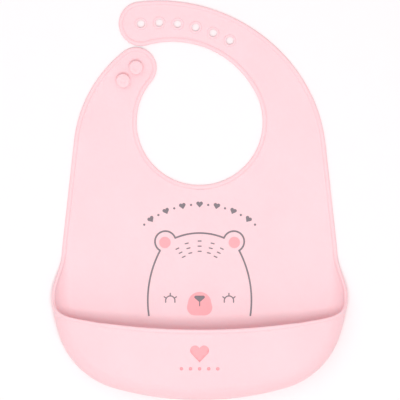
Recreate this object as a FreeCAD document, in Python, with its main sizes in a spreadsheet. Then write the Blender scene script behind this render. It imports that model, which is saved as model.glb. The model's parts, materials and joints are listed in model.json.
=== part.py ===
"""Silicone bib with a food-catching pocket, lying flat on its back with the front facing up.

Row frame: +X to the bib's left-hand side as seen from the front, +Y from the pocket to the neck,
+Z out of the front. The origin is the middle of the overall outline, on the surface it lies on.
All sizes are millimetres and degrees, and live in the spreadsheet "sizes".
"""
import FreeCAD, Part
import math
import os

from FreeCAD import Placement, Rotation, Vector

UP = Vector(0, 0, 1)
FAR = 400.0  # half the side of the blocks that divide the blank, larger than any bib

SIZES = [
    ("overall_height", 310.0, "bottom of the pocket to the top of the neck strap"),
    ("overall_width", 230.0, "across the two ears of the pocket mouth"),
    ("sheet_thickness", 1.8, "moulded sheet between the edge beads"),
    ("rim_width", 3.0, "width of the raised bead along every free edge"),
    ("rim_height", 2.6, "height of that bead above the back face"),
    ("neck_radius", 49.0, "neck opening"),
    ("nape_depth", 45.5, "top of the strap to the neck opening's own circle"),
    ("nape_radius", 133.0, "outer edge of the strap over the nape"),
    ("shoulder_radius", 120.0, "outer edge of the strap side shoulder"),
    ("shoulder_turn", 38.0, "direction in which the shoulder arc passes into the nape arc"),
    ("strap_end_radius", 17.2, "round end of the holed strap"),
    ("strap_end_angle", 97.0, "direction of that end from the centre of the nape arc"),
    ("strap_end_gap", 1.2, "gap in plan between that end and the end of the stud tab"),
    ("strap_inner_turn", 25.0, "direction in which the neck arc passes into the strap's inner edge"),
    ("tab_shoulder_radius", 103.0, "outer edge of the shoulder with the studs"),
    ("tab_radius", 16.0, "round end of the stud tab"),
    ("tab_setback", 0.0, "gap between the neck opening's circle and the round end of the tab"),
    ("tab_inner_turn", 150.0, "direction in which the neck arc passes into the tab's inner edge"),
    ("stud_turn", 225.6, "direction from the first stud to the second"),
    ("side_lean", 6.3, "lean of the straight sides from the Y axis"),
    ("ear_flare", 8.0, "how far the pocket ears stand out from the sides"),
    ("ear_top_from_bottom", 116.0, "where the side edges start to curl up into the ears"),
    ("bottom_radius", 240.0, "plan outline along the bottom of the pocket"),
    ("corner_radius", 62.0, "plan outline at the pocket corners"),
    ("flank_radius", 130.0, "plan outline up the flanks of the pocket"),
    ("flank_turn", 72.0, "direction, from -Y, in which the corner passes into the flank"),
    ("nose_radius", 14.0, "outside radius of the rounded pocket bottom, seen from the side"),
    ("wall_slope", 13.0, "rise of the front wall above the table plane, towards the mouth"),
    ("pocket_wall", 1.8, "thickness of the pocket wall"),
    ("mouth_from_bottom", 55.3, "bottom of the pocket to the middle of the mouth rim"),
    ("mouth_radius", 540.0, "plan curve of the mouth rim"),
    ("mouth_corner_radius", 12.0, "plan curve where the rim turns up to the ears"),
    ("lip_width", 3.0, "width of the bead along the mouth"),
    ("lip_raise", 0.5, "how far that bead stands proud of each side of the wall"),
    ("lip_half_length", 92.0, "half-length of the part of the bead that swings"),
    ("lip_gap", 0.6, "gap between the swinging bead and the ear beads"),
    ("hole_diameter", 6.0, "strap holes"),
    ("hole_pitch", 14.3, "distance between neighbouring holes, and between the two studs"),
    ("collar_width", 1.7, "width of the raised ring around each hole"),
    ("collar_height", 0.6, "height of that ring above the sheet"),
    ("post_diameter", 5.6, "post of a stud"),
    ("post_height", 2.8, "post of a stud, sheet to cap"),
    ("cap_diameter", 11.0, "cap of a stud"),
    ("cap_thickness", 3.2, "cap of a stud"),
    ("cap_round", 1.0, "rounding of the cap's upper edge"),
    ("fold_below_neck", 7.5, "neck opening to the fold line under it"),
    ("fold_band_width", 7.0, "flexing band at that fold line"),
    ("strap_band_width", 5.0, "flexing bands across the straps"),
    ("shoulder_cut_angle", 18.0, "direction of the band at the strap's root"),
    ("nape_band_from_hole", 13.0, "last hole to the middle of the band at the nape"),
    ("tab_band_from_stud", 15.5, "second stud to the middle of the band at the tab's root"),
    ("ink_thickness", 0.15, "printed layer"),
    ("line_width", 1.3, "printed outline of the bear"),
    ("fine_line_width", 0.9, "printed lashes and brow marks"),
    ("head_half_width", 40.3, "bear's head at its widest"),
    ("cheek_from_mouth", 21.7, "middle of the mouth rim to the widest part of the head"),
    ("cheek_end_from_mouth", 10.0, "middle of the mouth rim to the lower ends of the head's outline"),
    ("bear_ear_spread", 26.6, "centre line to the middle of a bear's ear"),
    ("bear_ear_drop", 6.6, "top of the bear's head down to the middle of an ear"),
    ("bear_ear_radius", 8.1, "bear's ear"),
    ("ear_patch_radius", 4.4, "coloured patch in a bear's ear"),
    ("brow_radius", 28.1, "outer row of brow marks, about a point between the eyes"),
    ("brow_pitch", 4.0, "between the rows of brow marks"),
    ("brow_length", 2.3, "brow mark, less its round ends"),
    ("eye_spread", 22.8, "centre line to the middle of a closed eye"),
    ("eye_from_mouth", 21.5, "middle of the mouth rim to the middle of a closed eye"),
    ("eye_radius", 3.6, "closed eye"),
    ("lash_length", 2.0, "eyelash, less its round ends"),
    ("muzzle_width", 19.6, "muzzle patch"),
    ("muzzle_height", 18.2, "muzzle patch"),
    ("muzzle_from_mouth", 19.1, "middle of the mouth rim to the middle of the muzzle"),
    ("bear_nose_width", 8.2, "nose"),
    ("bear_nose_height", 5.2, "nose, without the stem under it"),
    ("bear_nose_from_mouth", 25.4, "middle of the mouth rim to the top of the nose"),
    ("nose_stem", 2.7, "line under the nose"),
    ("garland_radius", 67.0, "arch of small hearts and dots over the bear"),
    ("garland_half_angle", 40.0, "half the angle of that arch"),
    ("garland_to_head", 22.2, "top of the arch to the top of the bear's head"),
    ("garland_margin", 1.7, "flexing band under the neck to the top of the arch"),
    ("garland_heart", 4.6, "height of a small heart"),
    ("garland_dot", 1.7, "diameter of a small dot"),
    ("emblem_size", 13.0, "heart on the pocket"),
    ("emblem_from_bottom", 36.5, "bottom of the pocket to the middle of that heart"),
    ("dot_row_from_bottom", 25.0, "bottom of the pocket to the row of dots under the heart"),
    ("dot_diameter", 2.6, "dot in that row"),
    ("dot_pitch", 7.0, "between those dots"),
]
GARLAND_MARKS = 15
BROW_ANGLES = (-38.0, -21.0, 0.0, 21.0, 38.0)
ROW_DOTS = 5
HOLES = 6
STUDS = 2

doc = FreeCAD.newDocument("silicone_bib")
sheet = doc.addObject("Spreadsheet::Sheet", "sizes")
for row, (alias, value, meaning) in enumerate(SIZES, start=1):
    sheet.set(f"A{row}", alias)
    sheet.set(f"B{row}", str(value))
    sheet.set(f"C{row}", meaning)
    sheet.setAlias(f"B{row}", alias)
doc.recompute()


def size(alias):
    """A driving size from the sheet."""
    return float(sheet.get(alias))


# ---------------------------------------------------------------- plan geometry


def direction(degrees):
    return Vector(math.cos(math.radians(degrees)), math.sin(math.radians(degrees)), 0)


def angle_of(vector):
    return math.degrees(math.atan2(vector.y, vector.x))


def arc(centre, radius, start, end):
    """Arc from one direction to another, in degrees: anticlockwise when end is the larger."""
    points = [centre + direction(a) * radius for a in (start, (start + end) / 2, end)]
    return Part.Arc(*points)


def line(start, end):
    return Part.LineSegment(start, end)


def wire_of(curves):
    return Part.Wire([curve.toShape() for curve in curves])


top_y = size("overall_height") / 2
bottom_y = -size("overall_height") / 2
half_width = size("overall_width") / 2
side_x = half_width - size("ear_flare")
ear_top_y = bottom_y + size("ear_top_from_bottom")
mouth_y = bottom_y + size("mouth_from_bottom")
neck_r = size("neck_radius")
neck = Vector(0, top_y - size("nape_depth") - neck_r, 0)
fold_y = neck.y - neck_r - size("fold_below_neck")


def link_arc(turn, end_centre, end_radius):
    """Arc that touches the neck opening from outside its centre and a round end from outside.

    turn is where it leaves the neck opening. Returns its centre and radius.
    """
    out = direction(turn)
    offset = neck - end_centre
    # |neck - (r - neck_r) out - end| = r + end_radius, squared and solved for s = r - neck_r
    reach = neck_r + end_radius
    s = (offset.dot(offset) - reach**2) / (2 * (reach + offset.dot(out)))
    return neck - out * s, neck_r + s


def side_foot(radius, side):
    """Centre of an arc of that radius that runs smoothly into the straight side."""
    lean = math.radians(size("side_lean"))
    normal = Vector(side * math.cos(lean), math.sin(lean), 0)
    on_side = Vector(side * side_x, ear_top_y, 0)
    return on_side - normal * radius, Vector(-side * math.sin(lean), math.cos(lean), 0)


# nape and shoulder on the holed strap's side: the nape arc's top is the top of the bib
shoulder_base, up_the_side = side_foot(size("shoulder_radius"), 1)
nape_step = direction(size("shoulder_turn")) * (size("nape_radius") - size("shoulder_radius"))
shoulder_y = top_y - size("nape_radius") + nape_step.y
shoulder = shoulder_base + up_the_side * ((shoulder_y - shoulder_base.y) / up_the_side.y)
nape = shoulder - nape_step

# the holed strap's round end lies inside the nape arc
hole_circle_r = size("nape_radius") - size("strap_end_radius")
strap_end = nape + direction(size("strap_end_angle")) * hole_circle_r
strap_link, strap_link_r = link_arc(size("strap_inner_turn"), strap_end, size("strap_end_radius"))

# the tab's round end stands on the neck opening's circle, its own gap away from the strap's end
tab_distance = neck_r + size("tab_radius") + size("tab_setback")
apart = size("strap_end_radius") + size("tab_radius") + size("strap_end_gap")
to_strap_end = strap_end - neck
tab_angle = angle_of(to_strap_end) + math.degrees(
    math.acos(
        (tab_distance**2 + to_strap_end.dot(to_strap_end) - apart**2)
        / (2 * tab_distance * to_strap_end.Length)
    )
)
tab_end = neck + direction(tab_angle) * tab_distance

# shoulder on the stud tab's side: touches the straight side and the round end of the tab
tab_base, up_the_tab_side = side_foot(size("tab_shoulder_radius"), -1)
to_tab = tab_end - tab_base
along = to_tab.dot(up_the_tab_side)
inner = size("tab_shoulder_radius") - size("tab_radius")
across = to_tab.dot(to_tab) - along**2
tab_shoulder = tab_base + up_the_tab_side * (along - math.sqrt(inner**2 - across))
tab_link, tab_link_r = link_arc(size("tab_inner_turn"), tab_end, size("tab_radius"))

# six holes start at the middle of the round end and follow the nape arc
hole_step = math.degrees(2 * math.asin(size("hole_pitch") / 2 / hole_circle_r))
hole_points = [nape + direction(size("strap_end_angle") - i * hole_step) * hole_circle_r for i in range(HOLES)]
past_holes = math.degrees(size("nape_band_from_hole") / hole_circle_r)
nape_cut = angle_of(
    nape + direction(size("strap_end_angle") - (HOLES - 1) * hole_step - past_holes) * hole_circle_r - neck
)
stud_step = math.degrees(2 * math.asin(size("hole_pitch") / 2 / tab_distance))
tab_cut = tab_angle + (STUDS - 1) * stud_step + math.degrees(size("tab_band_from_stud") / tab_distance)

# plan path of the pocket: three arcs a side, and a straight run up to where the sides curl
flank_turn = size("flank_turn")
flank_share = (size("flank_radius") - size("corner_radius")) * math.sin(math.radians(flank_turn))
bottom_turn = math.degrees(
    math.asin(
        (half_width - size("flank_radius") + flank_share)
        / (size("bottom_radius") - size("corner_radius"))
    )
)
bottom_centre = Vector(0, bottom_y + size("bottom_radius"), 0)
corner_centre = bottom_centre + direction(bottom_turn - 90) * (size("bottom_radius") - size("corner_radius"))
flank_centre = corner_centre - direction(flank_turn - 90) * (size("flank_radius") - size("corner_radius"))


def mirrored(point):
    return Vector(-point.x, point.y, point.z)


def pocket_path(inset, from_y):
    """The pocket's plan outline moved inwards by inset, from the left side round to the right."""
    left = -(half_width - inset)
    return [
        line(Vector(left, from_y, 0), Vector(left, flank_centre.y, 0)),
        arc(mirrored(flank_centre), size("flank_radius") - inset, 180, 270 - flank_turn),
        arc(mirrored(corner_centre), size("corner_radius") - inset, 270 - flank_turn, 270 - bottom_turn),
        arc(bottom_centre, size("bottom_radius") - inset, 270 - bottom_turn, 270 + bottom_turn),
        arc(corner_centre, size("corner_radius") - inset, 270 + bottom_turn, 270 + flank_turn),
        arc(flank_centre, size("flank_radius") - inset, 270 + flank_turn, 360),
        line(Vector(-left, flank_centre.y, 0), Vector(-left, from_y, 0)),
    ]


def blank_outline():
    """Outer edge of the flat sheet, straps included, anticlockwise.

    Along the pocket it runs inside the pocket's foot by the bead's width, so that the same
    outline moved inwards by that width meets the foot.
    """
    step_y = ear_top_y - size("rim_width")
    foot = size("nose_radius") - size("rim_width")
    lean = size("side_lean")
    to_link = angle_of(strap_link - strap_end) % 360
    to_tab_link = angle_of(tab_link - tab_end)
    from_shoulder = angle_of(tab_end - tab_shoulder)
    step_x = side_x + size("rim_width") * math.tan(math.radians(lean))
    right = [
        arc(shoulder, size("shoulder_radius"), lean, size("shoulder_turn")),
        arc(nape, size("nape_radius"), size("shoulder_turn"), size("strap_end_angle")),
        arc(strap_end, size("strap_end_radius"), size("strap_end_angle"), to_link),
        arc(strap_link, strap_link_r, to_link - 180, size("strap_inner_turn")),
    ]
    middle = [arc(neck, neck_r, size("strap_inner_turn"), size("tab_inner_turn") - 360)]
    left = [
        arc(tab_link, tab_link_r, size("tab_inner_turn"), to_tab_link + 180),
        arc(tab_end, size("tab_radius"), to_tab_link, from_shoulder),
        arc(tab_shoulder, size("tab_shoulder_radius"), from_shoulder, 180 - lean),
    ]
    path = pocket_path(foot, step_y)
    corner_right = Vector(step_x, step_y, 0)
    corner_left = mirrored(corner_right)
    shoulder_start = shoulder + direction(lean) * size("shoulder_radius")
    tab_finish = tab_shoulder + direction(180 - lean) * size("tab_shoulder_radius")
    return (
        [line(corner_right, shoulder_start)]
        + right
        + middle
        + left
        + [line(tab_finish, corner_left), line(corner_left, Vector(-(half_width - foot), step_y, 0))]
        + path
        + [line(Vector(half_width - foot, step_y, 0), corner_right)]
    )


# ---------------------------------------------------------------- document helpers

subparts = []


def subpart(feature, label):
    """Gives a finished sub-part its name, and has it written out."""
    feature.Label = label
    subparts.append(feature)
    return feature


def bind(feature, **properties):
    for name, expression in properties.items():
        feature.setExpression(name.replace("__", "."), expression)
    return feature


def curves_feature(name, curves):
    feature = doc.addObject("Part::Feature", name)
    feature.Shape = wire_of(curves)
    return feature


def face_feature(name, curves):
    feature = doc.addObject("Part::Feature", name)
    feature.Shape = Part.Face(wire_of(curves))
    return feature


def extrusion(name, base, length, lift="0"):
    """base extruded upwards by an expression, from another expression's height."""
    feature = doc.addObject("Part::Extrusion", name)
    feature.Base = base
    feature.DirMode = "Custom"
    feature.Dir = UP
    feature.Solid = True
    bind(feature, LengthFwd=length, Placement__Base__z=lift)
    return feature


def offset(name, source, value, mode="Skin", fill=False):
    feature = doc.addObject("Part::Offset2D", name)
    feature.Source = source
    feature.Mode = mode
    if mode == "Skin":
        feature.Join = "Intersection"
    feature.Fill = fill
    bind(feature, Value=value)
    return feature


def cut(name, base, tool):
    feature = doc.addObject("Part::Cut", name)
    feature.Base = base
    feature.Tool = tool
    return feature


def common(name, base, tool):
    feature = doc.addObject("Part::Common", name)
    feature.Base = base
    feature.Tool = tool
    return feature


def fused(name, shapes):
    feature = doc.addObject("Part::MultiFuse", name)
    feature.Shapes = shapes
    return feature


def compound(name, links):
    feature = doc.addObject("Part::Compound", name)
    feature.Links = links
    return feature


def block(name, points, low=-FAR, high=FAR):
    """Upright block over a polygon in plan, used to divide other shapes."""
    ring = points + points[:1]
    feature = doc.addObject("Part::Feature", name)
    raised = [Vector(p.x, p.y, low) for p in ring]
    feature.Shape = Part.Face(Part.makePolygon(raised)).extrude(Vector(0, 0, high - low))
    return feature


def rectangle(x0, y0, x1, y1):
    return [Vector(x0, y0, 0), Vector(x1, y0, 0), Vector(x1, y1, 0), Vector(x0, y1, 0)]


def sector(start, end, steps=6):
    """Slice of the plane about the neck centre, as a polygon."""
    angles = [start + (end - start) * i / steps for i in range(steps + 1)]
    return [neck] + [neck + direction(a) * FAR for a in angles]


def radial_strip(angle):
    """Strip of the strap bands' width along a direction from the neck centre."""
    out = direction(angle)
    aside = Vector(-out.y, out.x, 0) * (size("strap_band_width") / 2)
    return [neck - aside, neck + out * FAR - aside, neck + out * FAR + aside, neck + aside]


# ---------------------------------------------------------------- flat sheet, beads, bands

outline = face_feature("outline", blank_outline())
inner_outline = offset("inner_outline", outline, "-sizes.rim_width")
full_blank = extrusion("full_blank", outline, "sizes.rim_height")
bead_void = extrusion("bead_void", inner_outline, "sizes.rim_height")
sheet_blank = extrusion("sheet_blank", inner_outline, "sizes.sheet_thickness")

above_ears = block("above_ears", rectangle(-FAR, ear_top_y, FAR, FAR))
bead_ring = cut("bead_ring", full_blank, bead_void)
rim_blank = common("rim_blank", bead_ring, above_ears)

half_fold = size("fold_band_width") / 2
tab_half_angle = math.degrees(math.asin(size("tab_radius") / tab_distance))
end_to_end = (strap_end - tab_end).normalize()

fold_strip = block("fold_strip", rectangle(-FAR, fold_y - half_fold, FAR, fold_y + half_fold))
shoulder_strip = block("shoulder_strip", radial_strip(size("shoulder_cut_angle")))
nape_strip = block("nape_strip", radial_strip(nape_cut))
tab_strip = block("tab_strip", radial_strip(tab_cut))
strips = fused("strips", [fold_strip, shoulder_strip, nape_strip, tab_strip])

below_fold = block("below_fold", rectangle(-FAR, -FAR, FAR, fold_y))
above_fold = block("above_fold", rectangle(-FAR, fold_y, FAR, FAR))
between_ends = tab_end + end_to_end * (size("tab_radius") + size("strap_end_gap") / 2)
along_split = Vector(-end_to_end.y, end_to_end.x, 0) * FAR
tab_side = block(
    "tab_side",
    [
        between_ends - along_split,
        between_ends - along_split - end_to_end * FAR,
        between_ends + along_split - end_to_end * FAR,
        between_ends + along_split,
    ],
)
yoke_sector = block("yoke_sector", sector(tab_cut, size("shoulder_cut_angle") + 360))
strap_sector = block("strap_sector", sector(size("shoulder_cut_angle"), nape_cut))
left_sector = block("left_sector", sector(nape_cut, tab_cut))
tab_sector = block("tab_sector", sector(tab_angle - 1.7 * tab_half_angle, tab_cut))
tab_area = common("tab_area", tab_sector, tab_side)

regions = {
    "front_panel": cut("front_panel_region", below_fold, strips),
    "neck_yoke": cut("neck_yoke_region", common("neck_yoke_area", above_fold, yoke_sector), strips),
    "strap_shoulder": cut("strap_shoulder_region", strap_sector, strips),
    "strap_end": cut("strap_end_region", cut("strap_end_area", left_sector, tab_area), strips),
    "stud_tab": cut("stud_tab_region", tab_area, strips),
}
plain_sheets = {}
rims = {}
for name, region in regions.items():
    plain_sheets[name] = common(f"{name}_sheet_blank", sheet_blank, region)
    rims[name] = common(f"{name}_rim_blank", rim_blank, region)
for name in ("front_panel", "neck_yoke", "strap_shoulder", "stud_tab"):
    subpart(plain_sheets[name], name)

# the beads, one piece of edge each
inner_zone = doc.addObject("Part::Cylinder", "inner_zone")
inner_zone.Placement = Placement(neck - UP * FAR / 2, Rotation())
bind(inner_zone, Radius="sizes.neck_radius + 6 * sizes.rim_width", Height=f"{FAR}")
left_half = block("left_half", rectangle(-FAR, -FAR, 0, FAR))
right_half = block("right_half", rectangle(0, -FAR, FAR, FAR))
yoke_outer = cut("yoke_outer", rims["neck_yoke"], inner_zone)
subpart(common("side_bead_left_blank", rims["front_panel"], left_half), "side_bead_left")
subpart(common("side_bead_right_blank", rims["front_panel"], right_half), "side_bead_right")
subpart(common("neck_bead_blank", rims["neck_yoke"], inner_zone), "neck_bead")
subpart(common("yoke_bead_left_blank", yoke_outer, left_half), "yoke_bead_left")
subpart(common("yoke_bead_right_blank", yoke_outer, right_half), "yoke_bead_right")
subpart(common("strap_bead_inner_blank", rims["strap_shoulder"], inner_zone), "strap_bead_inner")
subpart(cut("strap_bead_outer_blank", rims["strap_shoulder"], inner_zone), "strap_bead_outer")
subpart(rims["strap_end"], "strap_end_bead")
subpart(rims["stud_tab"], "stud_tab_bead")

whole_blank = fused("whole_blank", [sheet_blank, rim_blank])
BANDS = {
    "fold_band": fold_strip,
    "shoulder_band": shoulder_strip,
    "nape_band": nape_strip,
    "tab_band": tab_strip,
}
for name, strip in BANDS.items():
    subpart(common(f"{name}_blank", whole_blank, strip), name)

# ---------------------------------------------------------------- holed strap end


def cylinder(name, centre, diameter, height, base="0"):
    feature = doc.addObject("Part::Cylinder", name)
    feature.Placement = Placement(centre, Rotation())
    bind(feature, Radius=f"({diameter}) / 2", Height=height, Placement__Base__z=base)
    return feature


drills = []
for i, point in enumerate(hole_points, start=1):
    drills.append(
        cylinder(f"drill_{i}", point, "sizes.hole_diameter", "sizes.sheet_thickness * 4", "-sizes.sheet_thickness")
    )
drill_set = fused("drill_set", drills)
subpart(cut("strap_end_drilled", plain_sheets["strap_end"], drill_set), "strap_end")
for i, point in enumerate(hole_points, start=1):
    ring = cylinder(
        f"collar_blank_{i}",
        point,
        "sizes.hole_diameter + 2 * sizes.collar_width",
        "sizes.collar_height",
        "sizes.sheet_thickness",
    )
    subpart(cut(f"collar_{i}", ring, drills[i - 1]), f"hole_collar_{i}")

# ---------------------------------------------------------------- studs


def design_body(name):
    return doc.addObject("PartDesign::Body", name)


def origin_plane(body, role):
    return [f for f in body.Origin.OriginFeatures if f.Role == role][0]


def body_sketch(body, name, role, curves, shift=0.0):
    """A sketch of the given curves on one of the body's own planes, moved along its normal."""
    sketch = body.newObject("Sketcher::SketchObject", name)
    sketch.AttachmentSupport = [(origin_plane(body, role), "")]
    sketch.MapMode = "FlatFace"
    sketch.AttachmentOffset = Placement(Vector(0, 0, shift), Rotation())
    for curve in curves:
        if isinstance(curve, Part.Arc):
            curve = Part.ArcOfCircle(*curve_points(curve))
        sketch.addGeometry(curve)
    return sketch


def curve_points(curve):
    """Three points that define an arc again."""
    middle = (curve.FirstParameter + curve.LastParameter) / 2
    return [curve.value(u) for u in (curve.FirstParameter, middle, curve.LastParameter)]


def stud_profile():
    """Half section of a stud: foot of the post on the axis, up the post, round the cap."""
    sketch_points = [
        Vector(0, 0, 0),
        Vector(size("post_diameter") / 2, 0, 0),
        Vector(size("post_diameter") / 2, size("post_height"), 0),
        Vector(size("cap_diameter") / 2, size("post_height"), 0),
        Vector(size("cap_diameter") / 2, size("post_height") + size("cap_thickness"), 0),
        Vector(0, size("post_height") + size("cap_thickness"), 0),
    ]
    ring = sketch_points + sketch_points[:1]
    return [line(a, b) for a, b in zip(ring, ring[1:])]


def constrain_stud(sketch):
    """Closes the profile and ties its four sizes to the sheet."""
    import Sketcher

    for i in range(6):
        sketch.addConstraint(Sketcher.Constraint("Coincident", i, 2, (i + 1) % 6, 1))
    for i in (0, 2, 4):
        sketch.addConstraint(Sketcher.Constraint("Horizontal", i))
    for i in (1, 3, 5):
        sketch.addConstraint(Sketcher.Constraint("Vertical", i))
    sketch.addConstraint(Sketcher.Constraint("Coincident", 0, 1, -1, 1))
    sized = [
        ("DistanceX", (0, 1, 0, 2), "sizes.post_diameter / 2"),
        ("DistanceY", (1, 1, 1, 2), "sizes.post_height"),
        ("DistanceX", (4, 2, 4, 1), "sizes.cap_diameter / 2"),
        ("DistanceY", (3, 1, 3, 2), "sizes.cap_thickness"),
    ]
    for kind, ends, expression in sized:
        index = sketch.addConstraint(Sketcher.Constraint(kind, *ends, 1.0))
        sketch.setExpression(f"Constraints[{index}]", expression)


def stud(name, centre):
    body = design_body(name)
    profile = body_sketch(body, f"{name}_profile", "XZ_Plane", stud_profile())
    constrain_stud(profile)
    turned = body.newObject("PartDesign::Revolution", f"{name}_turned")
    turned.Profile = profile
    turned.ReferenceAxis = (profile, ["V_Axis"])
    turned.Angle = 360
    doc.recompute()
    top = size("post_height") + size("cap_thickness")
    rim_edge = [
        f"Edge{i}"
        for i, edge in enumerate(turned.Shape.Edges, start=1)
        if abs(edge.BoundBox.ZMin - top) < 1e-6 and isinstance(edge.Curve, Part.Circle)
    ]
    rounded = body.newObject("PartDesign::Fillet", f"{name}_rounded")
    rounded.Base = (turned, rim_edge)
    bind(rounded, Radius="sizes.cap_round")
    body.Tip = rounded
    body.Placement = Placement(centre, Rotation())
    bind(body, Placement__Base__z="sizes.sheet_thickness")
    return subpart(body, name)


for i in range(STUDS):
    stud(f"stud_{i + 1}", tab_end + direction(size("stud_turn")) * (i * size("hole_pitch")))

# ---------------------------------------------------------------- pocket

slope = math.radians(size("wall_slope"))
wall_turn = 90 - size("wall_slope")
nose = size("nose_radius")
nose_centre = Vector(half_width - nose, nose, 0)


def pocket_section(outside, inside):
    """Closed section of a layer of the pocket's wall, X across and Z as Y, on the left side.

    It starts at the foot, goes round the rounded bottom and runs up the front wall.
    """
    up_wall = Vector(-math.cos(slope), math.sin(slope), 0)
    inset = size("mouth_from_bottom") + 1.0

    def wall_end(radius):
        start = nose_centre + direction(wall_turn) * radius
        return start + up_wall * ((inset - (half_width - start.x)) / math.cos(slope))

    def on_nose(angle, radius):
        return nose_centre + direction(angle) * radius

    curves = [
        arc(nose_centre, outside, -90, wall_turn),
        line(on_nose(wall_turn, outside), wall_end(outside)),
        line(wall_end(outside), wall_end(inside)),
        line(wall_end(inside), on_nose(wall_turn, inside)),
        arc(nose_centre, inside, wall_turn, -90),
        line(on_nose(-90, inside), on_nose(-90, outside)),
    ]
    return [flipped(curve) for curve in curves]


def flipped(curve):
    """A curve mirrored in X."""
    if isinstance(curve, Part.LineSegment):
        return line(mirrored(curve.StartPoint), mirrored(curve.EndPoint))
    return Part.Arc(*[mirrored(p) for p in curve_points(curve)])


def pocket_layer(name, outside, inside):
    """A layer of wall between two radii about the rounded bottom, swept round the pocket."""
    body = design_body(name)
    spine = body_sketch(body, f"{name}_path", "XY_Plane", pocket_path(0, ear_top_y))
    profile = body_sketch(body, f"{name}_section", "XZ_Plane", pocket_section(outside, inside), -ear_top_y)
    doc.recompute()
    pipe = body.newObject("PartDesign::AdditivePipe", f"{name}_pipe")
    pipe.Profile = profile
    pipe.Spine = (spine, [f"Edge{i + 1}" for i in range(len(spine.Geometry))])
    pipe.Mode = "Frenet"
    doc.recompute()
    return body


mouth_corner = size("mouth_corner_radius")
mouth_half_turn = math.degrees(
    math.asin((half_width - mouth_corner) / (size("mouth_radius") - mouth_corner))
)
mouth_centre = Vector(0, mouth_y + size("mouth_radius"), 0)
corner_point = mouth_centre + direction(270 + mouth_half_turn) * (size("mouth_radius") - mouth_corner)
ear_y = corner_point.y


def mouth_curves(grow):
    """Plan region over the open mouth, widened downwards by grow."""
    outer = Vector(corner_point.x + mouth_corner + grow, corner_point.y, 0)
    top_right = Vector(outer.x, top_y, 0)
    radius = size("mouth_radius") + grow
    return [
        line(mirrored(top_right), mirrored(outer)),
        arc(mirrored(corner_point), mouth_corner + grow, 180, 270 - mouth_half_turn),
        arc(mouth_centre, radius, 270 - mouth_half_turn, 270 + mouth_half_turn),
        arc(corner_point, mouth_corner + grow, 270 + mouth_half_turn, 360),
        line(outer, top_right),
        line(top_right, mirrored(top_right)),
    ]


def curl_space(name, drop):
    """Space over the curled side edges, lowered by drop: a block across the whole width."""
    low = size("sheet_thickness")
    fall = (nose - low) / (ear_top_y - ear_y)
    end_y = ear_top_y + 1.0
    side_view = [
        Vector(-FAR, ear_y, nose - drop),
        Vector(-FAR, end_y, low - fall - drop),
        Vector(-FAR, end_y, FAR),
        Vector(-FAR, ear_y, FAR),
        Vector(-FAR, ear_y, nose - drop),
    ]
    feature = doc.addObject("Part::Feature", name)
    feature.Shape = Part.Face(Part.makePolygon(side_view)).extrude(Vector(2 * FAR, 0, 0))
    return feature


def mouth_void(name, grow):
    """Everything that is open air over the mouth and the curled edges, grown by grow."""
    region = face_feature(f"{name}_region", mouth_curves(grow))
    over = extrusion(f"{name}_over", region, f"{FAR}", f"sizes.nose_radius - {grow}")
    return fused(name, [over, curl_space(f"{name}_curl", grow)])


mouth_open = mouth_void("mouth_open", 0.0)
mouth_grown = mouth_void("mouth_grown", size("lip_width"))
wall = size("pocket_wall")
raise_by = size("lip_raise")
wall_layer = pocket_layer("wall_layer", nose, nose - wall)
bead_layer = pocket_layer("bead_layer", nose + raise_by, nose - wall - raise_by)
pocket_shell = cut("pocket_shell", wall_layer, mouth_grown)
everywhere = rectangle(-FAR, -FAR, FAR, FAR)
below_nose = block("below_nose", everywhere, -FAR, nose)
above_nose = block("above_nose", everywhere, nose, FAR)
subpart(common("pocket_trough_blank", pocket_shell, below_nose), "pocket_trough")
subpart(common("pocket_front_blank", pocket_shell, above_nose), "pocket_front")
bead_band = cut("bead_band", common("bead_zone", bead_layer, mouth_grown), mouth_open)
# the swollen layer would reach past the table and the overall outline, so it is trimmed to them
envelope_face = face_feature("envelope_face", pocket_path(0, ear_top_y) + [
    line(Vector(half_width, ear_top_y, 0), Vector(-half_width, ear_top_y, 0))])
envelope = extrusion("envelope", envelope_face, f"{FAR}")
bead_all = common("bead_all", bead_band, envelope)
lip_half = size("lip_half_length")
lip_block = block("lip_block", rectangle(-lip_half, -FAR, lip_half, FAR))
ear_x = lip_half + size("lip_gap")
subpart(common("pocket_lip_blank", bead_all, lip_block), "pocket_lip")
left_ear = block("left_ear", rectangle(-FAR, -FAR, -ear_x, FAR))
right_ear = block("right_ear", rectangle(ear_x, -FAR, FAR, FAR))
subpart(common("ear_bead_left_blank", bead_all, left_ear), "ear_bead_left")
subpart(common("ear_bead_right_blank", bead_all, right_ear), "ear_bead_right")

# ---------------------------------------------------------------- printed marks


def stroke(name, curves, width="sizes.line_width"):
    """A round-ended printed line along some joined curves."""
    path = curves_feature(f"{name}_path", curves)
    edge = offset(f"{name}_edge", path, f"{width} / 2", "Pipe")
    return extrusion(name, edge, "sizes.ink_thickness", "sizes.sheet_thickness")


def bar(name, start, end, width):
    """A short straight printed line with round ends."""
    turn = angle_of(end - start)
    radius = width / 2
    left = direction(turn + 90) * radius
    curves = [
        line(start - left, end - left),
        arc(end, radius, turn - 90, turn + 90),
        line(end + left, start + left),
        arc(start, radius, turn + 90, turn + 270),
    ]
    return patch(name, curves)


def patch(name, curves):
    """A filled printed shape."""
    return extrusion(name, face_feature(f"{name}_face", curves), "sizes.ink_thickness", "sizes.sheet_thickness")


def circle_curves(centre, radius):
    return [arc(centre, radius, 0, 180), arc(centre, radius, 180, 360)]


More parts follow.
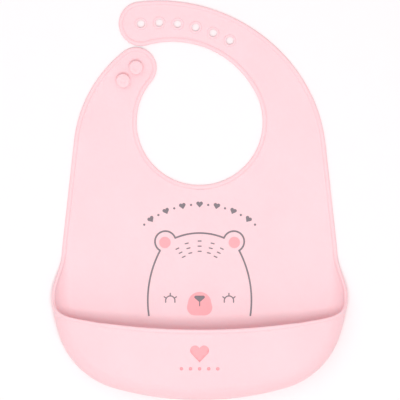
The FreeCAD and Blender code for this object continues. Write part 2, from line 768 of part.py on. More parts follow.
def heart_curves(centre, height, turn=0.0):
    """A plain heart: two round lobes and two sides that meet in a point. turn leans it over."""
    lobe = height * 0.29
    tip = Vector(0, -height / 2, 0)
    lobe_y = height / 2 - lobe
    right = Vector(lobe * 0.92, lobe_y, 0)
    to_tip = tip - right
    reach = to_tip.Length
    touch = angle_of(to_tip) + math.degrees(math.acos(lobe / reach))
    cleft = math.degrees(math.acos(-right.x / lobe))
    side_point = right + direction(touch) * lobe
    curves = [
        line(tip, side_point),
        arc(right, lobe, touch, cleft),
        arc(mirrored(right), lobe, 180 - cleft, 180 - touch),
        line(mirrored(side_point), tip),
    ]
    spin = Placement(centre, Rotation(UP, turn))
    moved = []
    for curve in curves:
        if isinstance(curve, Part.LineSegment):
            moved.append(line(spin.multVec(curve.StartPoint), spin.multVec(curve.EndPoint)))
        else:
            moved.append(Part.Arc(*[spin.multVec(p) for p in curve_points(curve)]))
    return moved


garland_top = fold_y - half_fold - size("garland_margin") - size("garland_heart") / 2
head_top = garland_top - size("garland_to_head")
ear_ring = size("bear_ear_radius")
bear_ear = Vector(size("bear_ear_spread"), head_top - size("bear_ear_drop"), 0)
# a cheek's curve is upright where the head is widest and, carried on upwards, meets the ear's middle
cheek_y = mouth_y + size("cheek_from_mouth")
ear_rise = bear_ear.y - cheek_y
ear_inset = size("head_half_width") - bear_ear.x
head_r = (ear_rise**2 + ear_inset**2) / (2 * ear_inset)
cheek = Vector(size("head_half_width") - head_r, cheek_y, 0)
# where the cheek's curve crosses the lower part of the ear ring
between = bear_ear - cheek
share = (between.dot(between) + head_r ** 2 - ear_ring**2) / (2 * between.Length)
cheek_top = angle_of(between) - math.degrees(math.acos(share / head_r))
join = cheek + direction(cheek_top) * head_r
ear_from = angle_of(join - bear_ear)
EAR_TO = 160.0
brow_end = bear_ear + direction(EAR_TO) * ear_ring
cheek_low = -math.degrees(math.asin((size("cheek_from_mouth") - size("cheek_end_from_mouth")) / head_r))

head_strokes = [stroke("crown", [Part.Arc(brow_end, Vector(0, head_top, 0), mirrored(brow_end))])]
ear_patches = []
for side, place in (("left", mirrored), ("right", lambda p: p)):
    ring = arc(bear_ear, ear_ring, ear_from, EAR_TO)
    jaw = arc(cheek, head_r, cheek_low, cheek_top)
    for label, curve in (("ear", ring), ("jaw", jaw)):
        head_strokes.append(stroke(f"{label}_{side}", [Part.Arc(*[place(p) for p in curve_points(curve)])]))
    middle = place(bear_ear + direction(-60) * (ear_ring * 0.1))
    ear_patches.append(patch(f"ear_patch_{side}", circle_curves(middle, size("ear_patch_radius"))))
subpart(fused("print_head_outline_blank", head_strokes), "print_head_outline")
subpart(compound("print_ear_patches_blank", ear_patches), "print_ear_patches")

brow_centre = Vector(0, head_top - 6.2 - size("brow_radius"), 0)
brow_marks = []
for row in range(3):
    radius = size("brow_radius") - row * size("brow_pitch")
    for column, angle in enumerate(BROW_ANGLES):
        middle = brow_centre + direction(90 - angle) * radius
        reach = direction(-0.65 * angle) * (size("brow_length") / 2)
        brow_marks.append(bar(f"brow_{row}_{column}", middle - reach, middle + reach, size("fine_line_width")))
subpart(compound("print_brow_marks_blank", brow_marks), "print_brow_marks")

eye_strokes = []
for side, sign in (("left", -1), ("right", 1)):
    eye = Vector(sign * size("eye_spread"), mouth_y + size("eye_from_mouth"), 0)
    lid = size("eye_radius")
    drop = Vector(0, -lid * 0.35, 0)
    left_foot = eye - Vector(lid, 0, 0)
    right_foot = eye + Vector(lid, 0, 0)
    curves = [line(left_foot + drop, left_foot), arc(eye, lid, 180, 0), line(right_foot, right_foot + drop)]
    eye_strokes.append(stroke(f"lid_{side}", curves, "sizes.fine_line_width"))
    for lash, (turn, lean) in enumerate(((150, 145), (90, 90), (30, 35))):
        start = eye + direction(turn) * lid
        end = start + direction(lean) * size("lash_length")
        eye_strokes.append(bar(f"lash_{side}_{lash}", start, end, size("fine_line_width")))
subpart(fused("print_eyes_blank", eye_strokes), "print_eyes")

bear_nose_top = Vector(0, mouth_y + size("bear_nose_from_mouth"), 0)
nose_half = size("bear_nose_width") / 2
nose_tip = bear_nose_top - Vector(0, size("bear_nose_height"), 0)
nose_round = nose_half * 0.3
shoulder_point = bear_nose_top + Vector(nose_half - nose_round, -nose_round, 0)
flank = angle_of(nose_tip - shoulder_point) + math.degrees(
    math.acos(nose_round / (nose_tip - shoulder_point).Length)
)
flank_point = shoulder_point + direction(flank) * nose_round
top_point = bear_nose_top + Vector(nose_half - nose_round, 0, 0)
nose_patch = patch(
    "nose_patch",
    [
        line(nose_tip, flank_point),
        arc(shoulder_point, nose_round, flank, 90),
        line(top_point, mirrored(top_point)),
        arc(mirrored(shoulder_point), nose_round, 90, 180 - flank),
        line(mirrored(flank_point), nose_tip),
    ],
)
stem_end = nose_tip - Vector(0, size("nose_stem"), 0)
stem = bar("nose_stem_line", nose_tip + Vector(0, 1, 0), stem_end, size("fine_line_width"))
print_nose = subpart(fused("print_nose_blank", [nose_patch, stem]), "print_nose")

muzzle_middle = mouth_y + size("muzzle_from_mouth")
muzzle_half = size("muzzle_width") / 2
crown_r = muzzle_half * 0.92
jaw_r = muzzle_half * 0.62
crown_at = Vector(0, muzzle_middle + size("muzzle_height") / 2 - crown_r, 0)
jaw_at = Vector(muzzle_half - jaw_r, muzzle_middle - size("muzzle_height") / 2 + jaw_r, 0)
lean_out = angle_of(jaw_at - crown_at) + math.degrees(math.acos((crown_r - jaw_r) / (jaw_at - crown_at).Length))
crown_touch = crown_at + direction(lean_out) * crown_r
jaw_touch = jaw_at + direction(lean_out) * jaw_r
jaw_foot = jaw_at - Vector(0, jaw_r, 0)
muzzle_patch = patch(
    "muzzle_patch",
    [
        arc(crown_at, crown_r, lean_out, 180 - lean_out),
        line(mirrored(crown_touch), mirrored(jaw_touch)),
        arc(mirrored(jaw_at), jaw_r, 180 - lean_out, 270),
        line(mirrored(jaw_foot), jaw_foot),
        arc(jaw_at, jaw_r, -90, lean_out),
        line(jaw_touch, crown_touch),
    ],
)
subpart(cut("print_muzzle_blank", muzzle_patch, print_nose), "print_muzzle")

garland_centre = Vector(0, garland_top - size("garland_radius"), 0)
garland_marks = []
for i in range(GARLAND_MARKS):
    turn = size("garland_half_angle") * (1 - 2 * i / (GARLAND_MARKS - 1))
    place = garland_centre + direction(90 + turn) * size("garland_radius")
    if i % 2:
        curves = heart_curves(place, size("garland_heart"), turn)
    else:
        curves = circle_curves(place, size("garland_dot") / 2)
    garland_marks.append(patch(f"garland_{i}", curves))
subpart(compound("print_garland_blank", garland_marks), "print_garland")

# marks on the pocket's front: a layer of ink over the wall, kept where the marks are
ink_layer = pocket_layer("ink_layer", nose + size("ink_thickness"), nose)
emblem_at = Vector(0, bottom_y + size("emblem_from_bottom"), 0)
emblem_face = face_feature("emblem_face", heart_curves(emblem_at, size("emblem_size")))
emblem_post = extrusion("emblem_post", emblem_face, f"{FAR}", "sizes.nose_radius")
subpart(common("pocket_heart_blank", ink_layer, emblem_post), "pocket_heart")
dot_posts = []
for i in range(ROW_DOTS):
    place = Vector((i - (ROW_DOTS - 1) / 2) * size("dot_pitch"), bottom_y + size("dot_row_from_bottom"), 0)
    post = cylinder(f"dot_post_{i}", place, "sizes.dot_diameter", f"{FAR}", "sizes.nose_radius")
    dot_posts.append(post)
subpart(common("pocket_dots_blank", ink_layer, fused("dot_posts", dot_posts)), "pocket_dots")

# ---------------------------------------------------------------- checks and export

doc.recompute()
for feature in doc.Objects:
    if "Invalid" in feature.State or "Error" in feature.State:
        raise RuntimeError(f"{feature.Label} did not recompute")

os.makedirs("parts", exist_ok=True)
for feature in subparts:
    shape = feature.Shape
    if shape.isNull() or not shape.isValid() or not shape.Solids or shape.Volume <= 0:
        raise RuntimeError(f"{feature.Label} is not a valid solid")
    shape.exportStep(f"parts/{feature.Label}.step")
    box = shape.BoundBox
    print(
        f"{feature.Label:20s} solids {len(shape.Solids):2d}  volume {shape.Volume:9.1f}  "
        f"x {box.XMin:8.2f} {box.XMax:8.2f}  y {box.YMin:8.2f} {box.YMax:8.2f}  z {box.ZMin:6.2f} {box.ZMax:6.2f}"
    )
doc.recompute()
print("sub-parts:", len(subparts))
print("hole", hole_points[0], "neck", neck, "nape band", nape_cut, "tab band", tab_cut, "mouth axis", ear_y, "fold", fold_y)
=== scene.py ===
"""Looks for a soft silicone bib with a moulded pocket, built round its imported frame.

The bib lies on its back: +X to the right, +Y towards the neck, +Z out of its front, in metres.
"""

import json
import math

import bmesh
import bpy
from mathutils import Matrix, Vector, geometry
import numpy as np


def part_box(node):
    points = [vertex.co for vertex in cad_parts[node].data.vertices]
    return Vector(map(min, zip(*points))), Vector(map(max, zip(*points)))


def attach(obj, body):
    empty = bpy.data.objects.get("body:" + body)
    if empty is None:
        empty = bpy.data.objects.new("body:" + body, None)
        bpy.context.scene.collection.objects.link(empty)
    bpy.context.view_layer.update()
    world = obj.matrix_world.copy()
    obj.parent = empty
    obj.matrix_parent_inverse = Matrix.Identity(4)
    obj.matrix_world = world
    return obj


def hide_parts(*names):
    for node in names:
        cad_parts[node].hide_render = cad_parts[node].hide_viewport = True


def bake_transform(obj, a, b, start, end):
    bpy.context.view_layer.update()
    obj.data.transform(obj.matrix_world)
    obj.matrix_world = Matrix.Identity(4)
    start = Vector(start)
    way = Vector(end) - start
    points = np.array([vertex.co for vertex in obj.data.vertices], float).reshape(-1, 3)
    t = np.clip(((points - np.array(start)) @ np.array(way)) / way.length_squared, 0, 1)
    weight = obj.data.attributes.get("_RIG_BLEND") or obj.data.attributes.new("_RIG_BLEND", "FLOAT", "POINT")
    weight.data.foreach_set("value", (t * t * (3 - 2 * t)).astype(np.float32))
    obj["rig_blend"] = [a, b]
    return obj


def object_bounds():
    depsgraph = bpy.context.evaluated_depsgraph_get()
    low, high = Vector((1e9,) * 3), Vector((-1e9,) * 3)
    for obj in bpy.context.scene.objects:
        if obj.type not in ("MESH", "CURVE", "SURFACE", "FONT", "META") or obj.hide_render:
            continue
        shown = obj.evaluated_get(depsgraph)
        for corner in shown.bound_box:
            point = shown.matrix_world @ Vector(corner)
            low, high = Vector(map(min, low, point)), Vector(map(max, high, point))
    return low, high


bl_info = {
    "name": "Silicone bib",
    "version": (1, 0, 0),
    "blender": (4, 2, 0),
    "location": "View3D > Sidebar > Bib",
    "description": "Builds a moulded silicone bib with a catch pocket, a holed strap and a stud tab",
    "category": "Object",
}

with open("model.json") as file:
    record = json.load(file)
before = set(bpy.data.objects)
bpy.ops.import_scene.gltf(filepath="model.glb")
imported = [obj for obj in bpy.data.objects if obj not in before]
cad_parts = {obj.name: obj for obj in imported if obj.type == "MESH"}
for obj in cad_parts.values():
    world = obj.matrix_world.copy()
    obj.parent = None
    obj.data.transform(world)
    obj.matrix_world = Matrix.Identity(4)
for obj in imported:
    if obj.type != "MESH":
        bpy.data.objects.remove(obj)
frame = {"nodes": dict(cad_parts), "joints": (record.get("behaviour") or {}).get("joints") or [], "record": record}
CAD_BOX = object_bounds()
MM = 0.001


def low(node):
    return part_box(node)[0]


def high(node):
    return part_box(node)[1]


def middle(node):
    return (low(node) + high(node)) / 2


def joint(name):
    """A joint of the frame, by name."""
    return next(j for j in frame["joints"] if j["name"] == name)


# ------------------------------------------------------------------ sizes and finishes


def length(name, description, millimetres):
    """A size property whose default is given in millimetres."""
    return bpy.props.FloatProperty(name=name, description=description, default=millimetres * MM, unit="LENGTH")


def colour(name, description, default):
    return bpy.props.FloatVectorProperty(
        name=name, description=description, size=3, subtype="COLOR", min=0, max=1, default=default
    )


def angle(name, description, degrees):
    return bpy.props.FloatProperty(name=name, description=description, default=math.radians(degrees), subtype="ANGLE")


class BibSizes(bpy.types.PropertyGroup):
    """Sizes of the moulding that can be set by hand."""

    sheet: length("Sheet", "Thickness of the moulded sheet", 1.8)
    nose_radius: length("Pocket rounding", "Outside radius of the pocket's rounded bottom", 14)
    wall_slope: angle("Wall slope", "Rise of the pocket's front towards its mouth", 13)
    side_lean: angle("Side lean", "How far the sides lean in towards the shoulders", 6.3)
    shoulder_radius: length("Shoulder radius", "Outer edge of the shoulder below the holed strap", 120)
    nape_radius: length("Nape radius", "Outer edge of the holed strap", 133)
    tab_shoulder_radius: length("Tab shoulder radius", "Outer edge of the shoulder below the stud tab", 103)
    strap_end_radius: length("Strap end radius", "Round end of the holed strap", 17.2)
    tab_radius: length("Tab radius", "Round end of the stud tab", 16)
    flank_radius: length("Flank radius", "Sides of the pocket in plan", 130)
    corner_radius: length("Corner radius", "Bottom corners of the pocket in plan", 62)
    bottom_radius: length("Bottom radius", "Bottom of the pocket in plan", 240)
    mouth_radius: length("Mouth radius", "Sweep of the pocket's lip in plan", 540)
    mouth_corner: length("Mouth corner", "Rounding where the lip turns up into the sides", 12)
    step: length("Step", "Spacing of the points along the edges", 1.7)
    stretch: length("Stretch", "Half the length of sheet that bends at a shoulder or the nape", 4)


class BibFinish(bpy.types.PropertyGroup):
    """Colours and surface of the silicone, the print and the floor."""

    silicone: colour("Silicone", "Colour of the silicone", (0.945, 0.70, 0.735))
    silicone_deep: colour("Deep silicone", "Colour of its faint clouding", (0.935, 0.645, 0.682))
    ink_grey: colour("Grey ink", "Colour of the drawn lines", (0.19, 0.17, 0.19))
    ink_coral: colour("Coral ink", "Colour of the filled shapes", (0.98, 0.40, 0.43))
    floor: colour("Floor", "Colour of the floor", (0.97, 0.97, 0.97))
    roughness: bpy.props.FloatProperty(
        name="Roughness", description="Roughness of the silicone", default=0.48, min=0, max=1, subtype="FACTOR"
    )


# ------------------------------------------------------------------ shader maths


class Wire:
    """A node socket that can be used in Python expressions."""

    def __init__(self, tree, socket):
        self.tree = tree
        self.socket = socket

    def node(self, kind, settings=None, **inputs):
        """Any node: its settings first, then the values or wires of its sockets, by name or number."""
        made = self.tree.nodes.new(kind)
        for name, value in (settings or {}).items():
            setattr(made, name, value)
        for key, value in inputs.items():
            number = int(key[1:]) if key[1:].isdigit() else None
            socket = made.inputs[number] if number is not None else made.inputs[key.replace("_", " ")]
            if isinstance(value, Wire):
                self.tree.links.new(value.socket, socket)
            else:
                socket.default_value = value
        return made

    def out(self, made, name=0):
        return Wire(self.tree, made.outputs[name])

    def maths(self, operation, a, b=0.0, clamp=False):
        made = self.node("ShaderNodeMath", {"operation": operation, "use_clamp": clamp}, _0=a, _1=b)
        return self.out(made)

    def __add__(self, other):
        return self.maths("ADD", self, other)

    def __radd__(self, other):
        return self.maths("ADD", other, self)

    def __sub__(self, other):
        return self.maths("SUBTRACT", self, other)

    def __rsub__(self, other):
        return self.maths("SUBTRACT", other, self)

    def __mul__(self, other):
        return self.maths("MULTIPLY", self, other)

    def __rmul__(self, other):
        return self.maths("MULTIPLY", other, self)

    def clamped(self):
        return self.maths("ADD", self, 0.0, clamp=True)

    def mix(self, a, b):
        """Colour a where this is 0, b where it is 1."""
        made = self.node("ShaderNodeMix", {"data_type": "RGBA"}, _0=self, _6=a, _7=b)
        return self.out(made, 2)


def new_material(name):
    """An empty material, its Principled node and a starting wire."""
    material = bpy.data.materials.new(name)
    material.use_nodes = True
    tree = material.node_tree
    shader = tree.nodes["Principled BSDF"]
    return material, tree, shader, Wire(tree, shader.outputs[0])


def join(tree, wire, socket):
    tree.links.new(wire.socket, socket)


def surface_place(start):
    """Where on the object a point is, in metres."""
    return start.out(start.node("ShaderNodeTexCoord"), "Object")


def noise(start, place, scale, detail=2.0, roughness=0.5):
    made = start.node("ShaderNodeTexNoise", {}, Vector=place, Scale=scale, Detail=detail, Roughness=roughness)
    return start.out(made, 0)


def silicone_material(finish):
    """Soft matte silicone: faint clouding, a fine moulded grain, and light that gets a little way in."""
    material, tree, shader, start = new_material("soft_silicone")
    place = surface_place(start)
    cloud = noise(start, place, scale=26.0, detail=3.0)
    fleck = noise(start, place, scale=420.0, detail=2.0)
    tint = (cloud * 1.5 - 0.35).clamped()
    deep_share = (tint * 0.55 + fleck * 0.12).clamped()
    base = deep_share.mix((*finish.silicone, 1), (*finish.silicone_deep, 1))
    join(tree, base, shader.inputs["Base Color"])
    rough = fleck * 0.10 + cloud * 0.08 + (finish.roughness - 0.09)
    join(tree, rough, shader.inputs["Roughness"])
    grain = noise(start, place, scale=1500.0, detail=2.0, roughness=0.6)
    wave = noise(start, place, scale=90.0, detail=1.0)
    height = grain * 0.5 + wave
    bump = start.node("ShaderNodeBump", {}, Strength=0.12, Distance=0.0002, Height=height)
    join(tree, start.out(bump), shader.inputs["Normal"])
    shader.inputs["Subsurface Weight"].default_value = 0.25
    shader.inputs["Subsurface Radius"].default_value = (1.0, 0.5, 0.45)
    shader.inputs["Subsurface Scale"].default_value = 0.0012
    shader.inputs["Sheen Weight"].default_value = 0.12
    shader.inputs["Sheen Roughness"].default_value = 0.5
    shader.inputs["IOR"].default_value = 1.41
    return material


def ink_material(name, colour):
    """Screen-printed ink: matte, slightly uneven in cover."""
    material, tree, shader, start = new_material(name)
    place = surface_place(start)
    cover = noise(start, place, scale=700.0, detail=3.0)
    patchy = noise(start, place, scale=60.0, detail=2.0)
    thin = [min(1.0, c * 1.25 + 0.03) for c in colour]
    share = (cover * 0.35 + patchy * 0.35 - 0.1).clamped()
    join(tree, share.mix((*colour, 1), (*thin, 1)), shader.inputs["Base Color"])
    join(tree, cover * 0.12 + 0.5, shader.inputs["Roughness"])
    bump = start.node("ShaderNodeBump", {}, Strength=0.1, Distance=0.0001, Height=cover)
    join(tree, start.out(bump), shader.inputs["Normal"])
    return material


def floor_material(colour):
    """Plain pale matte table top."""
    material, tree, shader, start = new_material("pale_floor")
    place = surface_place(start)
    grain = noise(start, place, scale=60.0, detail=2.0)
    darker = tuple(c * 0.985 for c in colour)
    join(tree, grain.mix((*colour, 1), (*darker, 1)), shader.inputs["Base Color"])
    shader.inputs["Roughness"].default_value = 0.85
    return material


def material_named(name):
    """A finish, made when it is first asked for."""
    found = bpy.data.materials.get(name)
    if found:
        return found
    finish = bpy.context.scene.bib_finish
    if name == "soft_silicone":
        return silicone_material(finish)
    if name == "pale_floor":
        return floor_material(finish.floor)
    colour = finish.ink_grey if "grey" in name else finish.ink_coral
    return ink_material(name, tuple(colour))


# ------------------------------------------------------------------ plan curves


def toward(degrees):
    return Vector((math.cos(math.radians(degrees)), math.sin(math.radians(degrees)), 0))


def bearing(vector):
    return math.degrees(math.atan2(vector.y, vector.x))


def smooth(t):
    t = min(1.0, max(0.0, t))
    return t * t * (3 - 2 * t)


def arc(centre, radius, start, end, step, hollow=False):
    """Points along an arc, each with the direction into the sheet."""
    count = max(2, round(abs(math.radians(end - start)) * radius / step))
    turns = [start + (end - start) * i / count for i in range(count + 1)]
    return [(centre + toward(t) * radius, toward(t) if hollow else -toward(t)) for t in turns]


def run(start, end, inward, step):
    """Points along a straight line, each with the direction into the sheet."""
    count = max(1, round((end - start).length / step))
    return [(start.lerp(end, i / count), inward) for i in range(count + 1)]


def chained(*pieces):
    """Joins point lists end to end without doubling the shared points."""
    points = []
    for point in (p for piece in pieces for p in piece):
        if not points or (point[0] - points[-1][0]).length > 1e-5:
            points.append(point)
    return points


# turns in degrees, anticlockwise from +X, where one arc of the outline runs into the next
SHOULDER_ENDS = 38  # the outer edge of the shoulder into that of the nape
NAPE_ENDS = 97  # the outer edge of the nape into the round end of the strap
NECK_TO_STRAP, NECK_TO_TAB = 25, 150  # the neck opening into its two hollow ends
DOWN = 270
FLANK_STARTS = 72  # a bottom corner into the flank, counted from straight down

SEAM_BELOW_FOLD = 8.5 * MM


class Blank:
    """The sheet's outline in plan, worked out from the frame's joints, mounts and pieces."""

    def __init__(self):
        self.size = size = bpy.context.scene.bib_sizes
        self.lean = math.degrees(size.side_lean)
        collar = next(m for m in frame["record"]["mounts"] if m["name"] == "neck_collar")
        self.neck = Vector((*collar["pos_m"][:2], 0))
        self.neck_r = collar["dims"]["r_mm"] * MM
        self.mid = size.sheet / 2
        self.seam_y = low("fold_band").y - SEAM_BELOW_FOLD
        self.side = Vector((high("side_bead_right").x, low("side_bead_right").y, 0))
        self.wide = high("ear_bead_right").x
        self.bottom = low("pocket_trough").y
        self.hinge = Vector(joint("pocket_mouth_swing")["pos_m"])
        self.strap_end = flat(middle("hole_collar_1"))
        self.tab_end = flat(middle("stud_1"))

    def left_side_arc(self, radius):
        """Centre of an arc that runs smoothly into the leaning left side, and the way up that side."""
        lean = math.radians(self.lean)
        inward = Vector((math.cos(lean), -math.sin(lean), 0))
        on_side = Vector((-self.side.x, self.side.y, 0))
        return on_side + inward * radius, Vector((math.sin(lean), math.cos(lean), 0))

    def link(self, turn, end_centre, end_radius):
        """Hollow arc from the neck opening, at a turn, to a round end: its centre and radius."""
        out = toward(turn)
        reach = self.neck_r + end_radius
        offset = self.neck - end_centre
        grow = (offset.dot(offset) - reach * reach) / (2 * (reach + offset.dot(out)))
        return self.neck - out * grow, self.neck_r + grow

    def upper_edge(self, start_y):
        """The edge from the right side over the strap, round the neck and down the left side."""
        size, step, lean = self.size, self.size.step, self.lean
        fine = step * 0.7
        nape = self.strap_end - toward(NAPE_ENDS) * (size.nape_radius - size.strap_end_radius)
        shoulder = nape + toward(SHOULDER_ENDS) * (size.nape_radius - size.shoulder_radius)
        link, link_r = self.link(NECK_TO_STRAP, self.strap_end, size.strap_end_radius)
        foot, up = self.left_side_arc(size.tab_shoulder_radius)
        to_tab = self.tab_end - foot
        along = to_tab.dot(up)
        inner = size.tab_shoulder_radius - size.tab_radius
        tab_shoulder = foot + up * (along - math.sqrt(inner**2 - to_tab.length_squared + along**2))
        tab_link, tab_link_r = self.link(NECK_TO_TAB, self.tab_end, size.tab_radius)
        to_link = bearing(link - self.strap_end) % 360
        to_tab_link = bearing(tab_link - self.tab_end)
        from_shoulder = bearing(self.tab_end - tab_shoulder)
        right_top = shoulder + toward(lean) * size.shoulder_radius
        left_top = tab_shoulder + toward(180 - lean) * size.tab_shoulder_radius
        rise = math.tan(math.radians(lean))
        right_foot = Vector((self.side.x - (start_y - self.side.y) * rise, start_y, 0))
        left_foot = Vector((-right_foot.x, start_y, 0))
        return chained(
            run(right_foot, right_top, -toward(lean), step),
            arc(shoulder, size.shoulder_radius, lean, SHOULDER_ENDS, step),
            arc(nape, size.nape_radius, SHOULDER_ENDS, NAPE_ENDS, step),
            arc(self.strap_end, size.strap_end_radius, NAPE_ENDS, to_link, fine),
            arc(link, link_r, to_link - 180, NECK_TO_STRAP, step, hollow=True),
            arc(self.neck, self.neck_r, NECK_TO_STRAP, NECK_TO_TAB - 360, step, hollow=True),
            arc(tab_link, tab_link_r, NECK_TO_TAB, to_tab_link + 180, step, hollow=True),
            arc(self.tab_end, size.tab_radius, to_tab_link, from_shoulder, fine),
            arc(tab_shoulder, size.tab_shoulder_radius, from_shoulder, 180 - lean, step),
            run(left_top, left_foot, toward(-lean), step),
        )

    def lower_edge(self):
        """The widest line from the left side round the pocket to the right side."""
        size, step = self.size, self.size.step
        share = (size.flank_radius - size.corner_radius) * math.sin(math.radians(FLANK_STARTS))
        turn = math.degrees(
            math.asin((self.wide - size.flank_radius + share) / (size.bottom_radius - size.corner_radius))
        )
        bottom = Vector((0, self.bottom + size.bottom_radius, 0))
        right = bottom + toward(turn - 90) * (size.bottom_radius - size.corner_radius)
        flank = right - toward(FLANK_STARTS - 90) * (size.flank_radius - size.corner_radius)
        half = chained(
            arc(bottom, size.bottom_radius, DOWN, DOWN + turn, step),
            arc(right, size.corner_radius, DOWN + turn, DOWN + FLANK_STARTS, step),
            arc(flank, size.flank_radius, DOWN + FLANK_STARTS, 360, step),
            run(Vector((self.wide, flank.y, 0)), Vector((self.wide, self.seam_y, 0)), Vector((-1, 0, 0)), step),
        )
        left = [(Vector((-p.x, p.y, 0)), Vector((-n.x, n.y, 0))) for p, n in reversed(half)]
        return chained(left, half)

    def in_mouth(self, p):
        """Whether a point in plan lies inside the pocket's opening."""
        size = self.size
        top = self.mouth_top()
        x = abs(p.x)
        corner_x = self.wide - size.mouth_corner
        turn = math.asin(corner_x / (size.mouth_radius - size.mouth_corner))
        if x < size.mouth_radius * math.sin(turn):
            return p.y > top - math.sqrt(size.mouth_radius**2 - x * x)
        reach = size.mouth_corner**2 - (x - corner_x) ** 2
        return reach > 0 and p.y > self.hinge.y - math.sqrt(reach)

    def mouth_top(self):
        """Height in plan of the centre of the lip's sweep."""
        size = self.size
        corner_x = self.wide - size.mouth_corner
        return self.hinge.y + math.sqrt((size.mouth_radius - size.mouth_corner) ** 2 - corner_x**2)


def flat(point):
    return Vector((point.x, point.y, 0))


# ------------------------------------------------------------------ skins

# distance from the edge, half thickness and shift to the front of the flat bead and of the lip, in millimetres
FLAT_BEAD = (
    (0, 0.03, 0.4), (0.06, 0.4, 0.4), (0.2, 0.7, 0.4), (0.45, 0.98, 0.4), (0.8, 1.18, 0.4), (1.2, 1.28, 0.4),
    (1.7, 1.3, 0.4), (2.15, 1.28, 0.38), (2.5, 1.19, 0.29), (2.8, 1.07, 0.17), (3.1, 0.97, 0.07),
    (3.5, 0.91, 0.01), (4.3, 0.9, 0),
)
LIP_BEAD = (
    (0, 0.03, 0), (0.06, 0.45, 0), (0.2, 0.8, 0), (0.45, 1.08, 0), (0.8, 1.28, 0), (1.2, 1.38, 0),
    (1.7, 1.4, 0), (2.15, 1.39, 0), (2.5, 1.33, 0), (2.8, 1.16, 0), (3.1, 0.98, 0), (3.5, 0.9, 0), (4.3, 0.9, 0),
)
THICKEST = 1.4 * MM  # half thickness at a full weight

HOLES = range(1, 7)
HOLE_POINTS = 48
COLLAR_SEAT = 4.4  # mm, radius of the sheet's hole under each collar
FLAT_STARTS = 6  # mm in from the edge
PAST_SEAM = 6 * MM  # how far the upper skin is made past its seam before it is cut back
FINE_FILL, COARSE_FILL = 3 * MM, 8 * MM
ROW_HEIGHT = 0.866  # of even triangles, as a share of their side
CLEARANCE = 0.45  # least distance of a filling point from the border, as a share of the spacing
WELD, TINY = 2e-6, 1e-7

PANEL_INSET = 22 * MM  # from the widest line in to the edge of the flat panel
SWELL = 35 * MM  # length in which each side widens into the pocket
RISE_POWER = 1.35  # how gently the sides begin to rise towards the lip
NO_RISE = 1e-6
LONGEST_WALL = 90 * MM
WALL_ROWS = 64
LIP_STARTS = 6 * MM  # below the foot of the straight sides
CORNER_X, CORNER_DROP, CORNER_SPAN = 90 * MM, 7 * MM, 13 * MM  # where the lip turns up into a side
SPREAD, CORNER_SPREAD, NEIGHBOURS = 6, 34, 14  # smoothing of the lip along the edge
STEEPEST = 1.8  # greatest widening of the bead where the lip runs at a slant


def bead_row(row, lip):
    """Distance from the edge, share of the greatest thickness and shift of one row, from flat bead to lip."""
    e, half, shift = (a + (b - a) * lip for a, b in zip(FLAT_BEAD[row], LIP_BEAD[row]))
    return e * MM, half * MM / THICKEST, shift * MM


def placed(name, mesh, material, smooth=True):
    """An object in the scene made from a mesh that is being edited, with its finish."""
    data = bpy.data.meshes.new(name)
    mesh.to_mesh(data)
    mesh.free()
    if smooth:
        data.shade_smooth()
    data.materials.append(material_named(material))
    made = bpy.data.objects.new(name, data)
    bpy.context.scene.collection.objects.link(made)
    return made


def skin(name, mesh, body, onto, start, end):
    """A single-layer mesh made into a moulded sheet; its thickness follows the sheet however it bends."""
    thick = mesh.verts.layers.float["thick"]
    weights = [v[thick] for v in mesh.verts]
    made = placed(name, mesh, "soft_silicone")
    group = made.vertex_groups.new(name="thick")
    for i, weight in enumerate(weights):
        group.add([i], min(1.0, weight), "REPLACE")
    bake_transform(made, body, onto, start, end)
    shell = made.modifiers.new("sheet", "SOLIDIFY")
    shell.thickness = 2 * THICKEST
    shell.offset = 0
    shell.use_rim = False
    shell.use_even_offset = False
    shell.vertex_group = "thick"
    return made


def new_skin():
    mesh = bmesh.new()
    mesh.verts.layers.float.new("thick")
    return mesh


def add_vert(mesh, point, share):
    vert = mesh.verts.new(point)
    vert[mesh.verts.layers.float["thick"]] = share
    return vert


def inside(p, loop):
    """Whether a point in plan lies inside a closed loop."""
    odd = False
    for a, b in zip(loop, loop[1:] + loop[:1]):
        if (a.y > p.y) != (b.y > p.y) and p.x < (b.x - a.x) * (p.y - a.y) / (b.y - a.y) + a.x:
            odd = not odd
    return odd


def fill_flat(mesh, outer, holes, height, share, spacing):
    """Fills the flat of the sheet inside a loop and outside its holes, with even triangles."""
    loops = [outer, *holes]
    points, edges = [], []
    for loop in loops:
        first = len(points)
        points += [Vector((p.x, p.y)) for p in loop]
        edges += [(first + i, first + (i + 1) % len(loop)) for i in range(len(loop))]
    x0, x1 = min(p.x for p in outer), max(p.x for p in outer)
    y0, y1 = min(p.y for p in outer), max(p.y for p in outer)
    border = list(points)
    rows = int((y1 - y0) / (spacing * ROW_HEIGHT)) + 1
    for j in range(rows):
        y = y0 + j * spacing * ROW_HEIGHT
        for i in range(int((x1 - x0) / spacing) + 1):
            p = Vector((x0 + (i + 0.5 * (j % 2)) * spacing, y))
            if not inside(p, outer) or any(inside(p, hole) for hole in holes):
                continue
            if min((p - q).length_squared for q in border) > (CLEARANCE * spacing) ** 2:
                points.append(p)
    found, _, faces, *_ = geometry.delaunay_2d_cdt(points, edges, [], 0, TINY)
    verts = [add_vert(mesh, (p.x, p.y, height), share) for p in found]
    for face in faces:
        centre = sum((found[i] for i in face), Vector((0, 0))) / len(face)
        if inside(centre, outer) and not any(inside(centre, hole) for hole in holes):
            mesh.faces.new([verts[i] for i in face])
    bmesh.ops.delete(mesh, geom=[v for v in verts if not v.link_faces], context="VERTS")


def strip(mesh, rows):
    """Joins rows of verts of the same length into quads."""
    for a, b in zip(rows, rows[1:]):
        for i in range(len(a) - 1):
            mesh.faces.new((a[i], b[i], b[i + 1], a[i + 1]))


